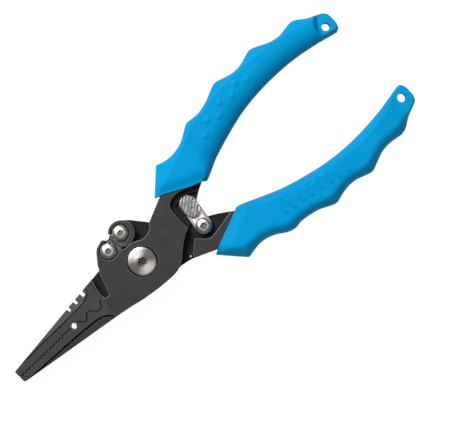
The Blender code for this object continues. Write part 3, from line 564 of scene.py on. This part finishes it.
def lever_piece(name, node, body):
    """A lever from the frame, with flats kept flat, a lighter tone with painted edge shade on its tilted
    faces, and painted shade on its recess floors.
    """
    source = frame["nodes"][node]
    builder = bmesh.new()
    builder.from_mesh(source.data)
    builder.transform(source.matrix_world)
    bmesh.ops.remove_doubles(builder, verts=builder.verts, dist=2e-6)
    bmesh.ops.dissolve_limit(builder, angle_limit=radians(0.3), verts=builder.verts, edges=builder.edges)
    for face in builder.faces:
        level = face.calc_center_median().z / MM
        face.smooth = True
        from_pivot = (face.calc_center_median().x - PIVOT.x) / MM
        jaw_level = METAL_TOP + min(0, from_pivot - JAW_TAPER_X) * JAW_TAPER
        # Flat faces below the face level take the painted recess shade; tilted faces take the jaw tone
        # with its painted edge shade.
        if face.normal.z > 0.9 and abs(face.normal.y) < 0.05 and level < jaw_level - 0.3:
            face.material_index = 2
        elif 0.8 < face.normal.z < 0.99999:
            face.material_index = 1
    for edge in builder.edges:
        flat = all(abs(face.normal.z) > 0.8 for face in edge.link_faces)
        edge.smooth = edge.calc_face_angle(pi) < radians(1 if flat else 30)
    piece = add_piece(name, builder, COATING, body, (node,), sharp=None)
    piece.data.materials.append(JAW_FACE_PAINTED_EDGE_SHADE)
    piece.data.materials.append(RECESS_PAINTED_SHADE)


def dress_frame():
    """The finishes of the levers, the blades and the hidden pieces."""
    lever_piece("front_lever_coated", "front_lever", "front_half")
    lever_piece("back_lever_coated", "back_lever", "back_half")
    for side in ("front", "back"):
        dress(f"{side}_cutter_blade", CUTTER, 0.12)
        dress(f"{side}_cutter_washer", DOMED, 0.08)
    dress("opening_spring", SPRING)
    dress("latch_spring_washer", SPRING, 0.08)
    dress("pivot_barrel_nut", TURNED_PAINTED_SHEEN, 0.15)
    dress("spring_anchor_pin", PIN_AND_GROOVE_SHADE, 0.15)
    for node in ("pivot_front_washer", "pivot_back_washer", "lap_washer", "latch_bush"):
        dress(node, BRONZE, 0.08)


# ---------------------------------------------------------------- screws
def middle_of(node):
    """The middle of a node in plan, and its lowest and highest levels in millimetres."""
    low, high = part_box(node)
    return Vector(((low.x + high.x) / 2, (low.y + high.y) / 2, 0)), low.z / MM, high.z / MM


def make_pivot_screw():
    """The flat pivot head: a shallow dished face, a fine chamfer and a six-lobed recess."""
    centre, low, high = middle_of("pivot_screw")
    seat = high - 1.6
    face = [(r, high - 0.1 - 0.12 * (r / 5.4) ** 2) for r in (5.4, 4.6, 3.8, 3.0, 2.4)]
    builder = turned([
        (0, low), (SCREW_SHANK - 0.3, low), (SCREW_SHANK, low + 0.4), (SCREW_SHANK, seat),
        (5.85, seat), (6.0, seat + 0.15),
        (6.0, seat + 0.95), (5.9, seat + 1.15), (5.6, seat + 1.32), *face, (0, high - 0.02),
    ], centre, 96)
    piece = add_piece("pivot_screw_turned", builder, TURNED_PAINTED_SHEEN, "back_half", ("pivot_screw",))
    lobes, steps = 6, 10
    outline = []
    for i in range(lobes * steps):
        radius = STAR_RADIUS - 0.5 * (0.5 - 0.5 * cos(2 * pi * i / steps)) ** 0.8
        turn = 2 * pi * i / (lobes * steps) + radians(30)
        outline.append((centre.x + radius * cos(turn) * MM, centre.y + radius * sin(turn) * MM))
    cut_with(piece, outline, high - 1.3, high + 1)
    # Painted shade inside the six-lobed recess.
    paint_recess_shade(piece, centre, STAR_RADIUS, high - 1.4, STAR_RECESS_PAINTED_SHADE)


def make_button_screw(name, node, body, radius):
    """A domed screw head with a hexagon socket."""
    centre, low, high = middle_of(node)
    rise = 1.9 if "cutter" in node else 1.55
    seat = high - rise
    dome = [(radius * cos(radians(a)) ** 0.9, seat + 0.22 * rise + 0.78 * rise * sin(radians(a)))
            for a in range(0, 84, 6)]
    builder = turned([
        (0, low), (SCREW_SHANK - 0.2, low), (SCREW_SHANK, low + 0.3), (SCREW_SHANK, seat),
        (radius - 0.15, seat), (radius, seat + 0.12), *dome, (0, high),
    ], centre, 72)
    piece = add_piece(name, builder, DOMED, body, (node,))
    cut_with(piece, circle(centre, HEX_RADIUS * MM, 6), high - 1.25, high + 1)
    # Painted shade inside the hexagon socket.
    paint_recess_shade(piece, centre, HEX_RADIUS - 0.03, high - 1.3, SOCKET_PAINTED_SHADE)


# ---------------------------------------------------------------- latch
def on_latch(distance, sideways, height):
    """A point on the closed latch, measured from its screw along and across it."""
    x = distance * cos(LATCH_DIRECTION) + sideways * sin(LATCH_DIRECTION)
    y = distance * sin(LATCH_DIRECTION) - sideways * cos(LATCH_DIRECTION)
    return place(x, y, height, LATCH_AXIS)


def make_latch_plate():
    """The long round-ended plate, with a broken upper edge and a hole for its screw."""
    low, high = (corner.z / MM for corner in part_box("latch_plate"))
    steps = 28
    outline = []
    for end, start in ((0, pi), (LATCH_LENGTH, 0)):
        for i in range(steps + 1):
            turn = start + pi * i / steps
            outline.append((end, LATCH_HALF_WIDTH * sin(turn), LATCH_HALF_WIDTH * cos(turn)))
    profile = ((0.0, low), (0.0, high - 0.45), (0.12, high - 0.16), (0.4, high))
    builder = bmesh.new()
    rings = []
    for inset, height in profile:
        shrink = (LATCH_HALF_WIDTH - inset) / LATCH_HALF_WIDTH
        rings.append([
            builder.verts.new(on_latch(end + beyond * shrink, sideways * shrink, height))
            for end, beyond, sideways in outline
        ])
    builder.faces.new(rings[0])
    builder.faces.new(rings[-1])
    for lower, upper in zip(rings, rings[1:]):
        for i in range(len(lower)):
            builder.faces.new((lower[i - 1], lower[i], upper[i], upper[i - 1]))
    piece = add_piece("latch_plate_satin", builder, SATIN, "latch", ("latch_plate",), 30)
    cut_with(piece, circle(LATCH_AXIS, 2.6 * MM), low - 1, high + 1)


def make_thumb_pad():
    """The oval pad with coarse diagonal ribs, painted shade low in their grooves, and its stem with the
    locking peg below.
    """
    low, high = (corner.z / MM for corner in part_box("latch_thumb_pad"))
    base = METAL_TOP + 0.2
    shoulder = base + 0.95
    builder = bmesh.new()
    ring_count, sides = 44, 120
    rings = []
    for k in range(ring_count + 1):
        out = 1 - k / ring_count
        ring = []
        for i in range(sides):
            turn = 2 * pi * i / sides
            distance = PAD_MIDDLE + PAD_HALF_LENGTH * out * cos(turn)
            sideways = PAD_HALF_WIDTH * out * sin(turn)
            point = on_latch(distance, sideways, 0) - LATCH_AXIS
            across = (-sin(RIB_ANGLE) * point.x + cos(RIB_ANGLE) * point.y) / MM
            ridge = abs(((across / RIB_PITCH) % 1) * 2 - 1)
            edge = min(1, (1 - out) / 0.14)
            top = shoulder + (high - shoulder) * sqrt(1 - (1 - edge) ** 2) * (0.15 + 0.85 * ridge)
            ring.append(builder.verts.new(on_latch(distance, sideways, top)))
        rings.append(ring)
    skirt = [builder.verts.new(on_latch(PAD_MIDDLE + PAD_HALF_LENGTH * cos(2 * pi * i / sides),
                                        PAD_HALF_WIDTH * sin(2 * pi * i / sides), base))
             for i in range(sides)]
    builder.faces.new(skirt)
    for lower, upper in zip([skirt, *rings], rings):
        for i in range(sides):
            builder.faces.new((lower[i - 1], lower[i], upper[i], upper[i - 1]))
    piece = add_piece("latch_thumb_pad_ribbed", builder, SATIN, "latch", ("latch_thumb_pad",),
                      50)
    piece.data.materials.append(PIN_AND_GROOVE_SHADE)
    # Painted shade: the lower parts of the rib grooves take the darker pin steel.
    for face in piece.data.polygons:
        if base + 0.9 < face.center.z / MM < high - 0.42:
            face.material_index = 1
    peg = turned([
        (0, low), (PEG_RADIUS - 0.2, low), (PEG_RADIUS, low + 0.2),
        (PEG_RADIUS, base + 0.3), (0, base + 0.3),
    ], on_latch(PEG_PLACE, 0, 0), 32)
    add_piece("latch_peg", peg, SATIN, "latch", ())


# ---------------------------------------------------------------- studio
def view_direction(right, up):
    """A direction to the right and up in the view, in the frame's own axes."""
    return Vector((right * cos(VIEW_TURN) + up * sin(VIEW_TURN),
                   -right * sin(VIEW_TURN) + up * cos(VIEW_TURN), 0))


def make_camera():
    """Straight above the tool, turned with it."""
    distance, width = 0.9, 0.1829
    target = place(36.3, -12.4, 10)
    camera = bpy.data.cameras.new("camera")
    camera.sensor_width = 36
    camera.lens = 36 * distance / width
    camera.clip_start, camera.clip_end = 0.05, 20
    holder = bpy.data.objects.new("camera", camera)
    bpy.context.scene.collection.objects.link(holder)
    right, up = view_direction(1, 0), view_direction(0, 1)
    turn = Matrix((right, up, Vector((0, 0, 1)))).transposed()
    holder.matrix_world = Matrix.Translation(target + Vector((0, 0, distance))) @ turn.to_4x4()
    bpy.context.scene.camera = holder


def add_light(name, right, up, height, size, power):
    """A square soft box, placed in the view's directions and aimed at the tool."""
    lamp = bpy.data.lights.new(name, "AREA")
    lamp.shape = "SQUARE"
    lamp.size = size
    lamp.energy = power
    holder = bpy.data.objects.new(name, lamp)
    bpy.context.scene.collection.objects.link(holder)
    holder.location = view_direction(right, up) + Vector((0, 0, height))
    holder.rotation_euler = (-holder.location).to_track_quat("-Z", "Y").to_euler()


def make_studio():
    """A bright paper floor, a dim even sky and two soft boxes."""
    floor_mesh = bpy.data.meshes.new("floor")
    reach = 3.0
    corners = [(-reach, -reach, 0), (reach, -reach, 0), (reach, reach, 0), (-reach, reach, 0)]
    floor_mesh.from_pydata([Vector(c) - Vector((0, 0, 0.0002)) for c in corners], [], [(0, 1, 2, 3)])
    floor = bpy.data.objects.new("floor", floor_mesh)
    bpy.context.scene.collection.objects.link(floor)
    material, _, shader = new_material("paper", (0.06, 0.06, 0.06), 0.9, 0.0)
    shader.inputs["Specular IOR Level"].default_value = 0.0
    shader.inputs["Emission Color"].default_value = (1, 1, 1, 1)
    shader.inputs["Emission Strength"].default_value = 0.98
    floor_mesh.materials.append(material)

    world = bpy.data.worlds.new("studio")
    bpy.context.scene.world = world
    world.use_nodes = True
    world.node_tree.nodes["Background"].inputs["Color"].default_value = (1, 1, 1, 1)
    world.node_tree.nodes["Background"].inputs["Strength"].default_value = 0.1
    add_light("key", -0.4, 0.46, 0.92, 0.5, 15.5)
    add_light("overhead", 0.02, 0.02, 1.15, 1.2, 3.0)
    bpy.context.scene.view_settings.view_transform = "Standard"


make_camera()
make_studio()
dress_frame()
make_front_grip()
make_back_grip()
make_pivot_screw()
make_button_screw("front_cutter_screw_domed", "front_cutter_screw", "front_half", 3.45)
make_button_screw("back_cutter_screw_domed", "back_cutter_screw", "back_half", 3.45)
make_button_screw("latch_screw_domed", "latch_screw", "back_half", 3.2)
make_latch_plate()
make_thumb_pad()
